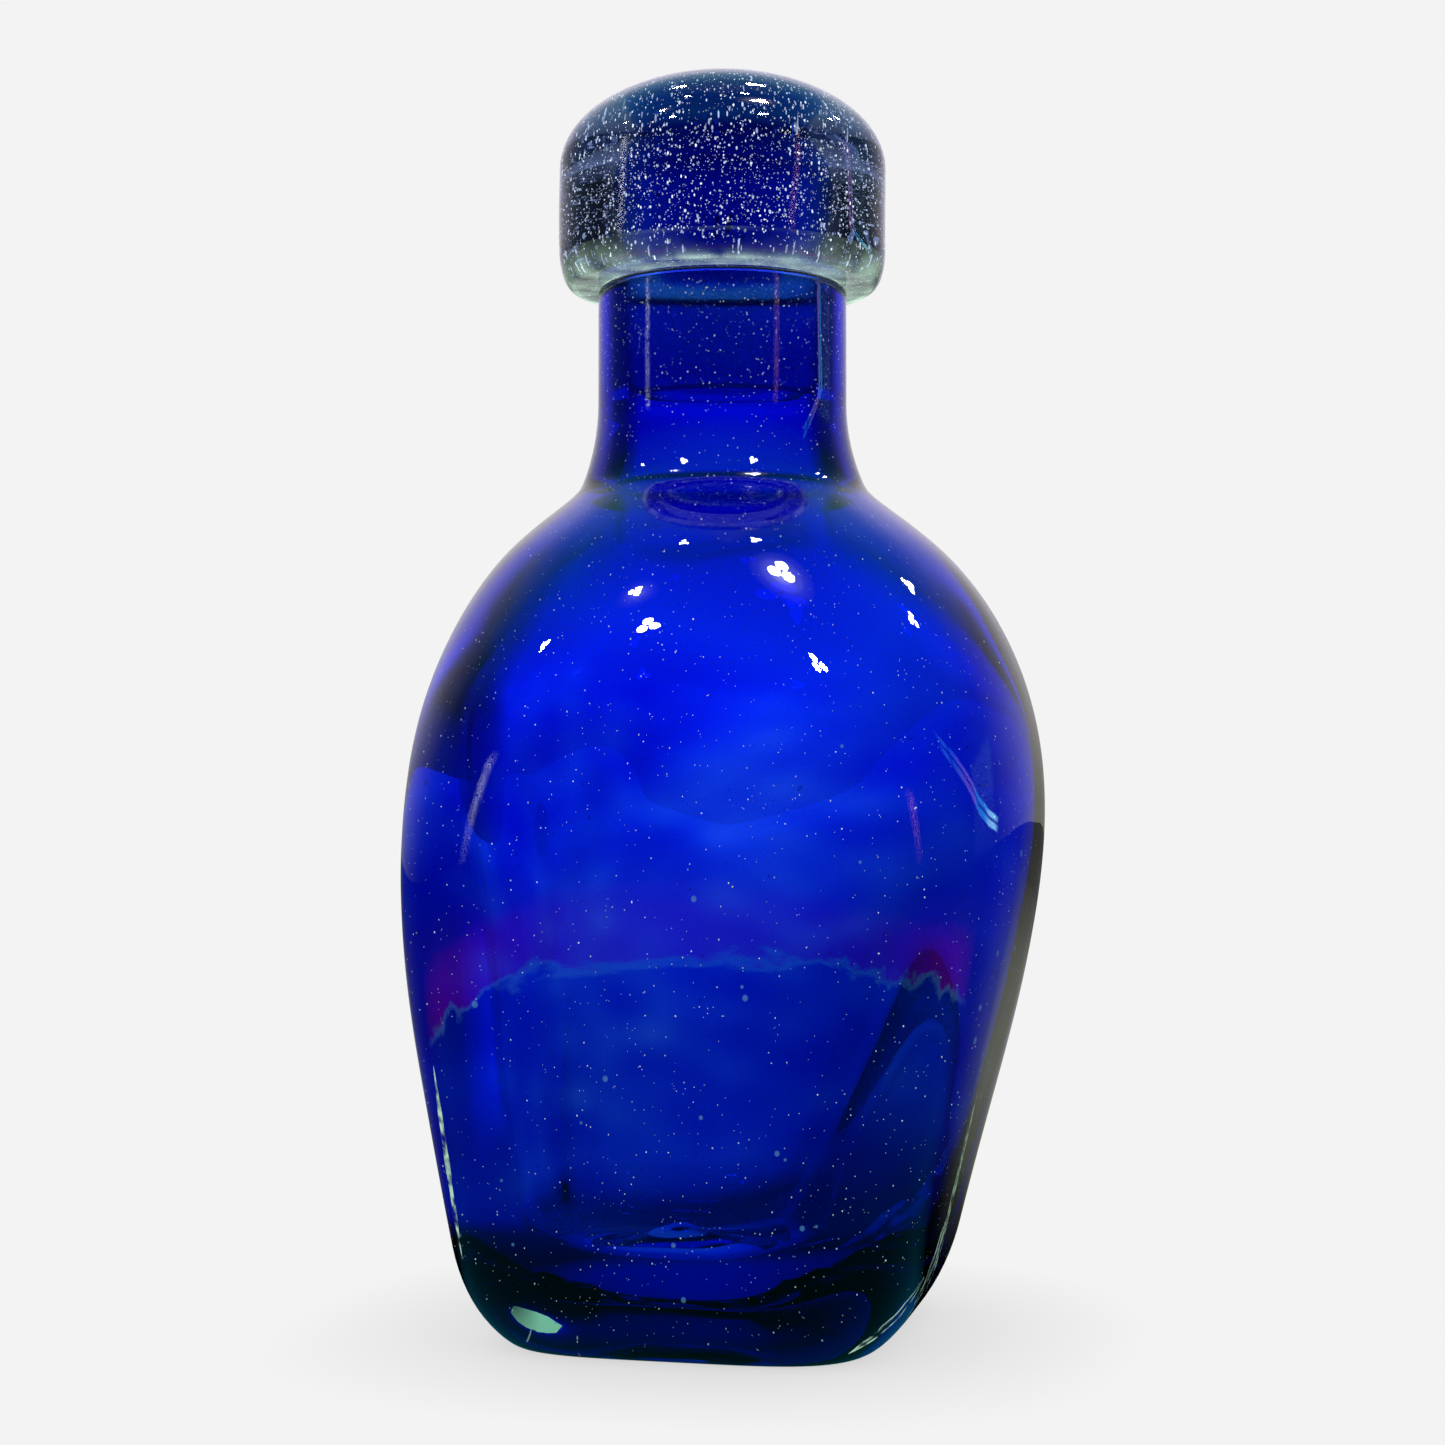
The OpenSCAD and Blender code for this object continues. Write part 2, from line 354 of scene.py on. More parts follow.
def lay_cavity(skin, inset, seat_slot):
    """From the rim down the seat and the walls to the middle of the floor."""
    for a in quarter(0, 1, 5):
        half = SEAT_TOP_R + SEAT_EDGE * (1 - math.sin(a)) + inset
        skin.add(NECK_TOP - SEAT_EDGE * (1 - math.cos(a)) - inset, half, slot=seat_slot)
    seat_bottom = NECK_TOP - PLUG_H
    for z in steps(NECK_TOP - UNDER_RIM, seat_bottom, 12):
        half = SEAT_BOTTOM_R + SEAT_TAPER * (z - seat_bottom)
        skin.add(z, half + inset, slot=seat_slot)
    for z in np.arange(seat_bottom - 1 * MM, FLOOR + INNER_HEEL_H, -WALL_STEP):
        uneven = INNER_UNEVEN * smoothstep(NECK_BASE, BELLY_Z + 30 * MM, z)
        half = inside_half(z, whole_wall(z), FLOOR) + inset
        skin.add(z, half, section_power(z, INNER_SQUARENESS), inner_drift(z), 0, -uneven, INNER_WAVES)
    for a in quarter(1, 0.04, 12):
        z = FLOOR + INNER_HEEL_H * (1 - math.cos(a))
        half = inside_half(z, whole_wall(z), FLOOR) + inset
        lowered = z - inset * math.cos(a)
        skin.add(lowered, half, INNER_SQUARENESS, inner_drift(z), 0, -INNER_UNEVEN, INNER_WAVES)
    lay_floor(skin, whole_wall(FLOOR), FLOOR, steps(0.95, 0.03, 16), INNER_UNEVEN, INNER_WAVES, -inset)


def lay_lining_back(skin):
    """The cobalt layer's outer side, from the middle of the floor up to just under the rim."""
    floor = FLOOR_LINED
    lay_floor(skin, casing_wall(floor), floor, steps(0.03, 0.95, 16), STREAK_UNEVEN, STREAK_WAVES)
    for a in quarter(0.04, 1, 12):
        z = floor + INNER_HEEL_H * (1 - math.cos(a))
        half = inside_half(z, casing_wall(z), floor)
        skin.add(z, half, INNER_SQUARENESS, inner_drift(z), 0, STREAK_UNEVEN, STREAK_WAVES)
    for z in np.arange(floor + INNER_HEEL_H + WALL_STEP, NECK_TOP - UNDER_RIM, WALL_STEP):
        uneven = STREAK_UNEVEN * (1 - 0.6 * smoothstep(BELLY_Z, NECK_BASE, z))
        half = inside_half(z, casing_wall(z), floor)
        skin.add(z, half, section_power(z, INNER_SQUARENESS), inner_drift(z), 0, uneven, STREAK_WAVES)
    skin.add(NECK_TOP - 2 * EMBED, NECK_R - CASING_NECK)


def bottle_wall_mesh():
    skin = Skin()
    lay_outside(skin)
    lay_cavity(skin, 0, 1)
    return skin.mesh("bottle_casing_glass")


def bottle_lining_mesh():
    skin = Skin()
    lay_lining_back(skin)
    lay_cavity(skin, EMBED, 0)
    return skin.mesh("bottle_cobalt_lining")


# Painted pale glints in the clear corners, standing for light caught in the thick glass. Angle round the
# section, lowest and highest point, half width, and turn on the way up
CORNER_GLINTS = [
    (-135.5, 19 * MM, 58 * MM, 0.9 * MM, 2.0),
    (-11.0, 10 * MM, 52 * MM, 2.0 * MM, -4.0),
    (136.0, 21 * MM, 52 * MM, 0.7 * MM, -2.0),
    (52.0, 18 * MM, 46 * MM, 0.8 * MM, 3.0),
    (-34.0, 3 * MM, 16 * MM, 2.2 * MM, 20.0),
    (-17.0, 7 * MM, 27 * MM, 2.6 * MM, 9.0),
]
GLINT_RINGS = 27
GLINT_SIDES = 10
GLINT_DEPTH = 1.2 * MM
GLINT_FLATNESS = 0.15
GLINT_RIPPLE = 0.15
GLINT_TIP = 0.03 * MM


def corner_glint(angle, low, high, width, bow):
    """A slender pale streak of painted glint just under the surface of a corner, from height low to height
    high.
    """
    rings = []
    turn = np.linspace(0, 2 * math.pi, GLINT_SIDES, endpoint=False)
    for share in steps(0, 1, GLINT_RINGS):
        z = mix(low, high, share)
        a = math.radians(angle + bow * (share - 0.5))
        c, s = math.cos(a), math.sin(a)
        ripple = 1 + GLINT_RIPPLE * math.sin(share * 23 + angle)
        half = max(GLINT_TIP, width * max(0.0, math.sin(math.pi * share)) ** 0.7 * ripple)
        under = GLINT_DEPTH + GLINT_FLATNESS * half
        r = section_radius(outer_half(z), section_power(z, SQUARENESS), c, s) - under
        across = np.outer(np.cos(turn) * half, [-s, c, 0])
        across += np.outer(np.sin(turn) * half * GLINT_FLATNESS, [c, s, 0])
        rings.append(np.array([drift(z) + r * c, r * s, z]) + across)
    return rings


def glint_streaks_mesh(name, glint_streaks):
    """One mesh of several painted glint streaks, each a closed tube drawn to a point at both ends."""
    points, faces = [], []
    for rings in glint_streaks:
        base = len(points)
        for ring in rings:
            points += ring.tolist()
        for k in range(len(rings) - 1):
            faces += ring_faces(base + k * GLINT_SIDES, base + (k + 1) * GLINT_SIDES, GLINT_SIDES)
        last = base + (len(rings) - 1) * GLINT_SIDES
        faces.append([base + i for i in range(GLINT_SIDES)][::-1])
        faces.append([last + i for i in range(GLINT_SIDES)])
    return smooth_mesh(name, points, faces)


# ---- The stopper -------------------------------------------------------------------------------


def stopper_mesh():
    """The plug from its foot up, then the underside, side and dome of the head, as one skin."""
    skin = Skin()
    foot_r = SEAT_BOTTOM_R - PLUG_GAP
    for r in steps(FIRST_RING_R, foot_r - PLUG_ROUND, 10, ends=False):
        skin.add(plug_lo.z, r, slot=1)
    for a in quarter(0, 1, 9):
        z = plug_lo.z + PLUG_ROUND * (1 - math.cos(a))
        skin.add(z, foot_r - PLUG_ROUND * (1 - math.sin(a)), slot=1)
    for z in steps(plug_lo.z + 2 * PLUG_ROUND, UNDERSIDE - PLUG_GAP, 14):
        skin.add(z, mix(foot_r, PLUG_R, (z - plug_lo.z) / PLUG_H), slot=1)
    for r in steps(PLUG_R + PLUG_GAP, HEAD_R - HEAD_EDGE_IN, 14, ends=False):
        skin.add(UNDERSIDE, r)
    for a in quarter(0, 1, 12):
        z = UNDERSIDE + HEAD_EDGE_H * (1 - math.cos(a))
        skin.add(z, head_outline(z), uneven=HEAD_UNEVEN * math.sin(a), field=HEAD_WAVES)
    for z in steps(UNDERSIDE + HEAD_EDGE_H + 1 * MM, DOME_Z, 16):
        skin.add(z, head_outline(z), uneven=HEAD_UNEVEN, field=HEAD_WAVES)
    for a in quarter(0.02, 0.985, 46):
        z = DOME_Z + DOME_H * math.sin(a)
        skin.add(z, HEAD_R * math.cos(a), uneven=HEAD_UNEVEN * math.cos(a), field=HEAD_WAVES)
    return skin.mesh("stopper_clear_glass")


CORE_CAP_H = 2 * MM


def core_mesh():
    skin = Skin()
    low = core_lo.z + EMBED
    cap_z = core_hi.z - CORE_CAP_H
    for r in steps(FIRST_RING_R, core_outline(low), 6, ends=False):
        skin.add(low, r)
    for z in steps(low, cap_z, 30):
        skin.add(z, core_outline(z), uneven=CORE_UNEVEN, field=HEAD_WAVES)
    for share in steps(0.9, 0.05, 10):
        skin.add(core_hi.z - CORE_CAP_H * share**2, core_outline(cap_z) * share)
    return skin.mesh("stopper_cobalt_core")


EDGE_GLOW_INSIDE = 0.7 * MM
EDGE_GLOW_THICK = 0.25 * MM
EDGE_GLOW_INNER_R = PLUG_R + 4.5 * MM
# The painted glow fades out between these heights
EDGE_GLOW_FADE = (UNDERSIDE + 2 * MM, UNDERSIDE + 6 * MM)


def edge_glow_mesh():
    """A thin shell that carries a painted pale glow along the lower edge of the head, just inside its
    surface.
    """
    outer_r = HEAD_R - HEAD_EDGE_IN - EDGE_GLOW_INSIDE
    outline = [(mix(EDGE_GLOW_INNER_R, outer_r, k / 6), UNDERSIDE + EDGE_GLOW_INSIDE) for k in range(6)]
    for a in quarter(0, 0.8, 9):
        z = UNDERSIDE + HEAD_EDGE_H * (1 - math.cos(a))
        r = head_outline(z) - EDGE_GLOW_INSIDE * (1 + 0.3 * math.sin(a))
        outline.append((r, z + EDGE_GLOW_INSIDE * math.cos(a)))
    outline += [(r - EDGE_GLOW_THICK, z + EDGE_GLOW_THICK) for r, z in outline[::-1]]
    turn = np.linspace(0, 2 * math.pi, SIDES, endpoint=False)
    points = [[NECK_X + r * math.cos(t), r * math.sin(t), z] for r, z in outline for t in turn]
    faces = []
    count = len(outline)
    for k in range(count):
        faces += ring_faces(k * SIDES, (k + 1) % count * SIDES, SIDES)
    return smooth_mesh("stopper_painted_edge_glow", points, faces)


# ---- Seeds: small bubbles caught in the glass ---------------------------------------------------


def ball(level):
    """Points and triangles of a unit icosphere."""
    made = bpy.data.meshes.new("ball")
    bm = bmesh.new()
    bmesh.ops.create_icosphere(bm, subdivisions=level, radius=1.0)
    bm.to_mesh(made)
    bm.free()
    points = np.array([v.co[:] for v in made.vertices])
    faces = np.array([p.vertices[:] for p in made.polygons])
    bpy.data.meshes.remove(made)
    return points, faces


def bubbles_mesh(name, places, level):
    """One mesh of many small balls. places is a list of (centre, radius, stretch)."""
    points, faces = ball(level)
    all_points = [points * np.array([r, r, r * stretch]) + np.array(centre) for centre, r, stretch in places]
    all_faces = [faces + k * len(points) for k in range(len(places))]
    return smooth_mesh(name, np.concatenate(all_points).tolist(), np.concatenate(all_faces).tolist())


# What seeds keep clear of: the outside of the bottle, its lining, the outside of the head, its core
OFF_OUTSIDE = 0.6 * MM
OFF_LINING = 0.5 * MM
OFF_HEAD = 0.9 * MM
OFF_CORE = 0.8 * MM
# Along the underside of the head most of the seeds below this height are left out
SPARSE_TO = UNDERSIDE + 4.5 * MM
SPARSE_SKIPPED = 0.85


def in_wall(draw, z, depth_share):
    """A point in the clear wall at height z: share 0 is the outer surface and 1 the lining."""
    a = draw.random() * 2 * math.pi
    c, s = math.cos(a), math.sin(a)
    outer = section_radius(outer_half(z), section_power(z, SQUARENESS), c, s)
    inner_edge = inside_half(z, casing_wall(z), FLOOR_LINED)
    inner = section_radius(inner_edge, section_power(z, INNER_SQUARENESS), c, s)
    r = mix(outer - OFF_OUTSIDE, inner + OFF_LINING, depth_share)
    return (float(drift(z)) + r * c, r * s, z)


def wall_seeds(draw, count, low, high, crowd, smallest, largest):
    """Seeds in the wall. crowd above 1 gathers them towards the high end."""
    places = []
    for _ in range(count):
        z = mix(low, high, draw.random() ** (1 / crowd))
        size = smallest * (largest / smallest) ** (draw.random() ** 2.2)
        places.append((in_wall(draw, z, draw.random()), size, 1 + 0.6 * draw.random()))
    return places


def wide_bubbles(draw, count, low, high, smallest, largest):
    """Wide bubbles halfway into the wall."""
    places = []
    for _ in range(count):
        centre = in_wall(draw, mix(low, high, draw.random()), 0.5)
        places.append((centre, mix(smallest, largest, draw.random() ** 2), 1.15))
    return places


def head_seeds(draw, count, smallest, largest):
    """Seeds in the clear glass of the head: outside the core, and few along the underside."""
    places = []
    while len(places) < count:
        z = mix(UNDERSIDE + 1.5 * MM, TOP - 1 * MM, draw.random())
        r = HEAD_R * math.sqrt(draw.random())
        if z < SPARSE_TO and draw.random() < SPARSE_SKIPPED:
            continue
        if r > head_outline(z) - OFF_HEAD:
            continue
        if core_lo.z < z < core_hi.z and r < core_outline(z) + OFF_CORE:
            continue
        a = draw.random() * 2 * math.pi
        size = smallest * (largest / smallest) ** (draw.random() ** 2)
        place = (NECK_X + r * math.cos(a), r * math.sin(a), z)
        places.append((place, size, 1 + 1.2 * draw.random() ** 2))
    return places


# ---- Shader graphs ------------------------------------------------------------------------------
# A graph is the pair (nodes, links) of one node tree


def maths(graph, operation, a, b=None, c=None):
    """One maths node. Each of a, b and c is a number or a socket."""
    nodes, links = graph
    n = nodes.new("ShaderNodeMath")
    n.operation = operation
    for k, value in enumerate((a, b, c)):
        if value is None:
            continue
        if isinstance(value, (int, float)):
            n.inputs[k].default_value = value
        else:
            links.new(value, n.inputs[k])
    return n.outputs[0]


def combined(graph, operation, a, b):
    """Two colours or vectors combined part by part."""
    nodes, links = graph
    n = nodes.new("ShaderNodeVectorMath")
    n.operation = operation
    links.new(a, n.inputs[0])
    links.new(b, n.inputs[1])
    return n.outputs[0]


def plus(graph, a, b):
    return combined(graph, "ADD", a, b)


def times(graph, a, b):
    return combined(graph, "MULTIPLY", a, b)


def scaled(graph, colour, factor):
    nodes, links = graph
    n = nodes.new("ShaderNodeVectorMath")
    n.operation = "SCALE"
    n.inputs["Scale"].default_value = factor
    links.new(colour, n.inputs[0])
    return n.outputs[0]


def along(graph, place, direction):
    """How far a place lies in a fixed direction."""
    nodes, links = graph
    n = nodes.new("ShaderNodeVectorMath")
    n.operation = "DOT_PRODUCT"
    n.inputs[1].default_value = direction
    links.new(place, n.inputs[0])
    return n.outputs["Value"]


def split_xyz(graph, place):
    nodes, links = graph
    n = nodes.new("ShaderNodeSeparateXYZ")
    links.new(place, n.inputs[0])
    return n.outputs


def blended(graph, a, b, share):
    nodes, links = graph
    n = nodes.new("ShaderNodeMix")
    n.data_type = "RGBA"
    # Sockets 6 and 7 and output 2 are the ones for colours
    links.new(share, n.inputs[0])
    links.new(a, n.inputs[6])
    links.new(b, n.inputs[7])
    return n.outputs[2]


def ramp(graph, value, stops, span=(0, 1)):
    """A colour for each value in the span. stops are (value, colour or grey)."""
    nodes, links = graph
    low, high = span
    n = nodes.new("ShaderNodeValToRGB")
    share = maths(graph, "DIVIDE", maths(graph, "SUBTRACT", value, low), high - low)
    links.new(share, n.inputs["Fac"])
    elements = n.color_ramp.elements
    elements.remove(elements[1])
    for k, (at, colour) in enumerate(stops):
        spot = (at - low) / (high - low)
        e = elements[0] if k == 0 else elements.new(spot)
        e.position = spot
        e.color = (*colour, 1) if isinstance(colour, tuple) else (colour, colour, colour, 1)
    return n.outputs["Color"]


def stretched(graph, value, low, high, to_low=0.0, to_high=1.0):
    """The value's place between low and high, as a number from to_low to to_high."""
    nodes, links = graph
    n = nodes.new("ShaderNodeMapRange")
    n.inputs["From Min"].default_value = low
    n.inputs["From Max"].default_value = high
    n.inputs["To Min"].default_value = to_low
    n.inputs["To Max"].default_value = to_high
    links.new(value, n.inputs["Value"])
    return n.outputs["Result"]


def noise(graph, place, scale, detail=2.0, roughness=0.5):
    nodes, links = graph
    n = nodes.new("ShaderNodeTexNoise")
    n.inputs["Scale"].default_value = scale
    n.inputs["Detail"].default_value = detail
    n.inputs["Roughness"].default_value = roughness
    if place is not None:
        links.new(place, n.inputs["Vector"])
    return n.outputs["Fac"]


def coordinates(graph, kind):
    return graph[0].new("ShaderNodeTexCoord").outputs[kind]


def facing(graph, blend=0.5):
    """0 where a surface is seen face on, and 1 where it is seen along itself."""
    n = graph[0].new("ShaderNodeLayerWeight")
    n.inputs["Blend"].default_value = blend
    return n.outputs["Facing"]


def shaders_mixed(graph, share, a, b):
    nodes, links = graph
    n = nodes.new("ShaderNodeMixShader")
    for socket, value in zip(n.inputs, (share, a, b)):
        links.new(value, socket)
    return n.outputs[0]


# ---- Materials ---------------------------------------------------------------------------------


def new_material(name):
    """A material with an empty graph: the material, the graph and its output node."""
    m = bpy.data.materials.new(name)
    m.use_nodes = True
    nodes, links = m.node_tree.nodes, m.node_tree.links
    nodes.clear()
    return m, (nodes, links), nodes.new("ShaderNodeOutputMaterial")


def absorption(graph, output, colour, density):
    nodes, links = graph
    volume = nodes.new("ShaderNodeVolumeAbsorption")
    volume.inputs["Color"].default_value = (*colour, 1)
    volume.inputs["Density"].default_value = density
    links.new(volume.outputs[0], output.inputs["Volume"])


def glass_material(name, tint, density, roughness, ripple, scale, ior=1.51):
    """Refracting glass: rippled a little, and tinted by its depth."""
    m, graph, output = new_material(name)
    nodes, links = graph
    glass = nodes.new("ShaderNodeBsdfPrincipled")
    glass.inputs["Base Color"].default_value = (1, 1, 1, 1)
    glass.inputs["Transmission Weight"].default_value = 1.0
    glass.inputs["Roughness"].default_value = roughness
    glass.inputs["IOR"].default_value = ior
    bump = nodes.new("ShaderNodeBump")
    bump.inputs["Strength"].default_value = ripple
    bump.inputs["Distance"].default_value = 0.5 * MM
    links.new(noise(graph, coordinates(graph, "Object"), scale, 1.5), bump.inputs["Height"])
    links.new(bump.outputs[0], glass.inputs["Normal"])
    links.new(glass.outputs[0], output.inputs["Surface"])
    absorption(graph, output, tint, density)
    return m


def cobalt_material(name, density):
    """Cobalt glass fused to clear glass: it colours by depth and bends nothing."""
    m, graph, output = new_material(name)
    nodes, links = graph
    clear = nodes.new("ShaderNodeBsdfTransparent")
    clear.inputs["Color"].default_value = (1, 1, 1, 1)
    links.new(clear.outputs[0], output.inputs["Surface"])
    absorption(graph, output, COBALT_TINT, density)
    return m


def seed_glint_material(name, colour, glow):
    """A painted glint on a small round bubble: its brightness is a painted highlight, uneven from one bubble
    to the next.
    """
    m, graph, output = new_material(name)
    nodes, links = graph
    dim = tuple(c * 0.35 for c in colour)
    shades = ramp(graph, noise(graph, coordinates(graph, "Object"), 900), [(0.35, dim), (0.65, colour)])
    skin = nodes.new("ShaderNodeBsdfPrincipled")
    skin.inputs["Roughness"].default_value = 0.25
    skin.inputs["Emission Strength"].default_value = glow
    links.new(shades, skin.inputs["Base Color"])
    links.new(shades, skin.inputs["Emission Color"])
    links.new(skin.outputs[0], output.inputs["Surface"])
    return m


def glow_over_clear(graph, output, colour, strength, share):
    """A glow that hides a share of what lies behind it. colour is a colour or a socket."""
    nodes, links = graph
    glow = nodes.new("ShaderNodeEmission")
    glow.inputs["Strength"].default_value = strength
    if isinstance(colour, tuple):
        glow.inputs["Color"].default_value = (*colour, 1)
    else:
        links.new(colour, glow.inputs["Color"])
    clear = nodes.new("ShaderNodeBsdfTransparent")
    links.new(shaders_mixed(graph, share, clear.outputs[0], glow.outputs[0]), output.inputs["Surface"])


def bubble_glow_material(name, colour):
    """A wide flat bubble with a painted glow: a soft pale disc of painted reflected light that fades out at
    its rim.
    """
    m, graph, output = new_material(name)
    inner = maths(graph, "SUBTRACT", 1.0, facing(graph, 0.35))
    grain = maths(graph, "MULTIPLY_ADD", noise(graph, None, 700), 0.5, 0.15)
    glow_over_clear(graph, output, colour, 0.5, maths(graph, "MULTIPLY", inner, grain))
    return m


def painted_glint_material(name, colour):
    """A painted glint in the clear glass: nothing face on, and broken pale painted glints where it is seen
    aslant.
    """
    m, graph, output = new_material(name)
    patches = noise(graph, coordinates(graph, "Object"), 420, 5)
    shades = ramp(graph, patches, [(0.35, tuple(c * 0.3 for c in colour)), (0.6, colour)])
    broken = stretched(graph, patches, 0.35, 0.55)
    aslant = stretched(graph, facing(graph), 0.11, 0.2)
    glow_over_clear(graph, output, shades, 1.0, maths(graph, "MULTIPLY", broken, aslant))
    return m


def edge_glow_material(name, colour):
    """A painted glow along the head's lower edge, standing for light caught there: faint face on, dense
    where it is seen along its surface.
    """
    m, graph, output = new_material(name)
    place = coordinates(graph, "Object")
    dense = maths(graph, "POWER", facing(graph), 1.3)
    cloud = maths(graph, "MULTIPLY_ADD", noise(graph, place, 160, 4), 2.4, -0.6)
    fade = stretched(graph, split_xyz(graph, place)["Z"], *EDGE_GLOW_FADE, 1.0, 0.0)
    share = maths(graph, "MULTIPLY", maths(graph, "MULTIPLY", dense, cloud), fade)
    glow_over_clear(graph, output, colour, 2.4, share)
    return m


# What each glass turns white light to, by its depth
GREEN_TINT = (0.05, 0.45, 0.3)
PLUG_TINT = (0.15, 0.4, 0.5)
SMOKY_TINT = (0.0, 0.13, 0.4)
COBALT_TINT = (0.0, 0.385, 0.945)

# Painted glow of the seeds, the wide bubbles, the corner glints and the head's lower edge: painted
# highlights and reflections, not lamps
SEED_GLINT_COLOUR = (0.85, 0.9, 1.0)
BUBBLE_GLOW_COLOUR = (0.16, 0.4, 0.9)
CORNER_GLINT_COLOUR = (0.5, 0.78, 0.6)
EDGE_GLOW_COLOUR = (0.6, 0.86, 0.66)

clear_glass = glass_material("clear_casing_glass", GREEN_TINT, 30.0, 0.0, 0.05, 45)
head_glass = glass_material("clear_seeded_glass", SMOKY_TINT, 52.0, 0.0, 0.06, 60)
seat_glass = glass_material("ground_seat_glass", GREEN_TINT, 30.0, 0.12, 0.1, 400)
plug_glass = glass_material("ground_plug_glass", PLUG_TINT, 16.0, 0.12, 0.1, 400, 1.22)
cobalt_layer = cobalt_material("cobalt_layer", 2330.0)
cobalt_core = cobalt_material("cobalt_core", 230.0)
body_seed_glint_skin = seed_glint_material("seed_painted_glint", SEED_GLINT_COLOUR, 0.5)
bubble_glow_skin = bubble_glow_material("wide_bubble_painted_glow", BUBBLE_GLOW_COLOUR)
head_seed_painted_glint = seed_glint_material("head_seed_painted_glint", SEED_GLINT_COLOUR, 1.2)
edge_glow_skin = edge_glow_material("painted_edge_glow", EDGE_GLOW_COLOUR)
corner_glint_skin = painted_glint_material("painted_corner_glint", CORNER_GLINT_COLOUR)

# ---- Pieces ------------------------------------------------------------------------------------


def add_piece(name, data, materials, body, nodes=()):
    piece = bpy.data.objects.new(name, data)
    bpy.context.scene.collection.objects.link(piece)
    for m in materials:
        data.materials.append(m)
    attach(piece, body)
    if nodes:
        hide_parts(*nodes)


def add_bubbles(name, places, level, skin, body):
    add_piece(name, bubbles_mesh(name, places, level), [skin], body)


add_piece("bottle_casing_glass", bottle_wall_mesh(), [clear_glass, seat_glass], "bottle",
          ["bottle_casing"])
add_piece("bottle_cobalt_lining", bottle_lining_mesh(), [cobalt_layer], "bottle",
          ["bottle_lining"])
add_piece("stopper_clear_glass", stopper_mesh(), [head_glass, plug_glass], "stopper",
          ["stopper_head", "stopper_plug"])
add_piece("stopper_cobalt_core", core_mesh(), [cobalt_core], "stopper",
          ["stopper_core"])

draw = np.random.default_rng(20)
body_places = wall_seeds(draw, 6000, 6 * MM, 175 * MM, 1.0, 0.05 * MM, 0.15 * MM)
body_places += wall_seeds(draw, 1800, 165 * MM, 214 * MM, 2.4, 0.05 * MM, 0.14 * MM)
head_places = head_seeds(draw, 9700, 0.045 * MM, 0.23 * MM)
wide_places = wide_bubbles(draw, 90, 14 * MM, 120 * MM, 0.3 * MM, 0.8 * MM)
glint_streaks = [corner_glint(*f) for f in CORNER_GLINTS]

# The seeds' brightness is a painted glint, not lamplight
add_bubbles("bottle_seeds", body_places, 1, body_seed_glint_skin, "bottle")
add_bubbles("stopper_seeds", head_places, 1, head_seed_painted_glint, "stopper")
# A painted pale glow along the lower edge of the head, standing for light caught there
add_piece("stopper_painted_edge_glow", edge_glow_mesh(), [edge_glow_skin], "stopper")
# Painted glints: pale streaks standing for light caught in the thick clear corners
add_piece("bottle_painted_corner_glints", glint_streaks_mesh("bottle_painted_corner_glints", glint_streaks), [corner_glint_skin], "bottle")
# The wide bubbles glow with a painted reflection of the blue glass behind them
add_bubbles("bottle_wide_bubbles", wide_places, 2, bubble_glow_skin, "bottle")

# ---- Floor, light and camera -------------------------------------------------------------------

VIEW_AZIMUTH = math.radians(13)
VIEW_DISTANCE = 0.532
VIEW_HEIGHT = 0.10915
LENS = 63.5
SHIFT_Y = 0.0552
SENSOR_WIDTH = 36.0
PALE = 0.896
FLOOR_REACH = 6.0
FLOOR_GAP = 0.05 * MM
SHADE_REACH = 0.045
SHADE_DARKEST = 0.7
THROUGH_STRENGTH = 2.4
STREAK_STRENGTH = 10.0
WINDOW_STRENGTH = 5.0
LAMP_DISTANCE = 1.8
LAMP_RADIANCE = 60.0
LAMPS_TOGETHER = 3
LAMP_SPREAD = 0.62

# Azimuth from the camera's side, elevation and diameter of each lamp
LAMPS = [
    (-58, 58, 0.06), (54, 73, 0.11), (-81, 40, 0.045), (118, 45, 0.05), (104, 45, 0.045), (-92, 79, 0.04),
    (105, 83, 0.045), (-39, 47, 0.08), (30, 49, 0.08), (-156, 66, 0.06), (162, 67, 0.075),
]

# Azimuth, elevation and radius in degrees, and brightness, of a soft glow round a lamp
HALOS = [(54, 73, 9, 5.0), (-58, 58, 6, 2.0)]

# What the ramps below run over: degrees, cosines, and metres from the middle of the floor
AZIMUTHS = (-180, 180)
OFF_BACKS = (0, 180)
RISES = (-90, 90)
COSINES = (-1, 1)
DISTANCES = (0, 3)

scene = bpy.context.scene
scene.view_settings.view_transform = "Standard"
scene.cycles.max_bounces = 24
scene.cycles.transmission_bounces = 24
scene.cycles.glossy_bounces = 12
scene.cycles.transparent_max_bounces = 48
scene.cycles.sample_clamp_indirect = 4.0


def towards_lamp(azimuth, elevation):
    """Unit vector towards a lamp. Azimuth runs from the camera's side, both in degrees."""
    a = VIEW_AZIMUTH + math.radians(azimuth)
    e = math.radians(elevation)
    return Vector((math.sin(a) * math.cos(e), -math.cos(a) * math.cos(e), math.sin(e)))


def three_ways(graph, output, kind, seen, mirrored, through):
    """What the camera sees, what a polished surface mirrors, and what shines through the glass."""
    nodes, links = graph
    path = nodes.new("ShaderNodeLightPath")
    shaders = []
    for colour in (seen, mirrored, through):
        n = nodes.new(kind)
        links.new(colour, n.inputs["Color"])
        shaders.append(n.outputs[0])
    unseen = shaders_mixed(graph, path.outputs["Is Reflection Ray"], shaders[2], shaders[1])
    whole = shaders_mixed(graph, path.outputs["Is Camera Ray"], unseen, shaders[0])
    links.new(whole, output.inputs["Surface"])


def plain_colour(graph, grey):
    n = graph[0].new("ShaderNodeCombineXYZ")
    for socket in n.inputs:
        socket.default_value = grey
    return n.outputs[0]


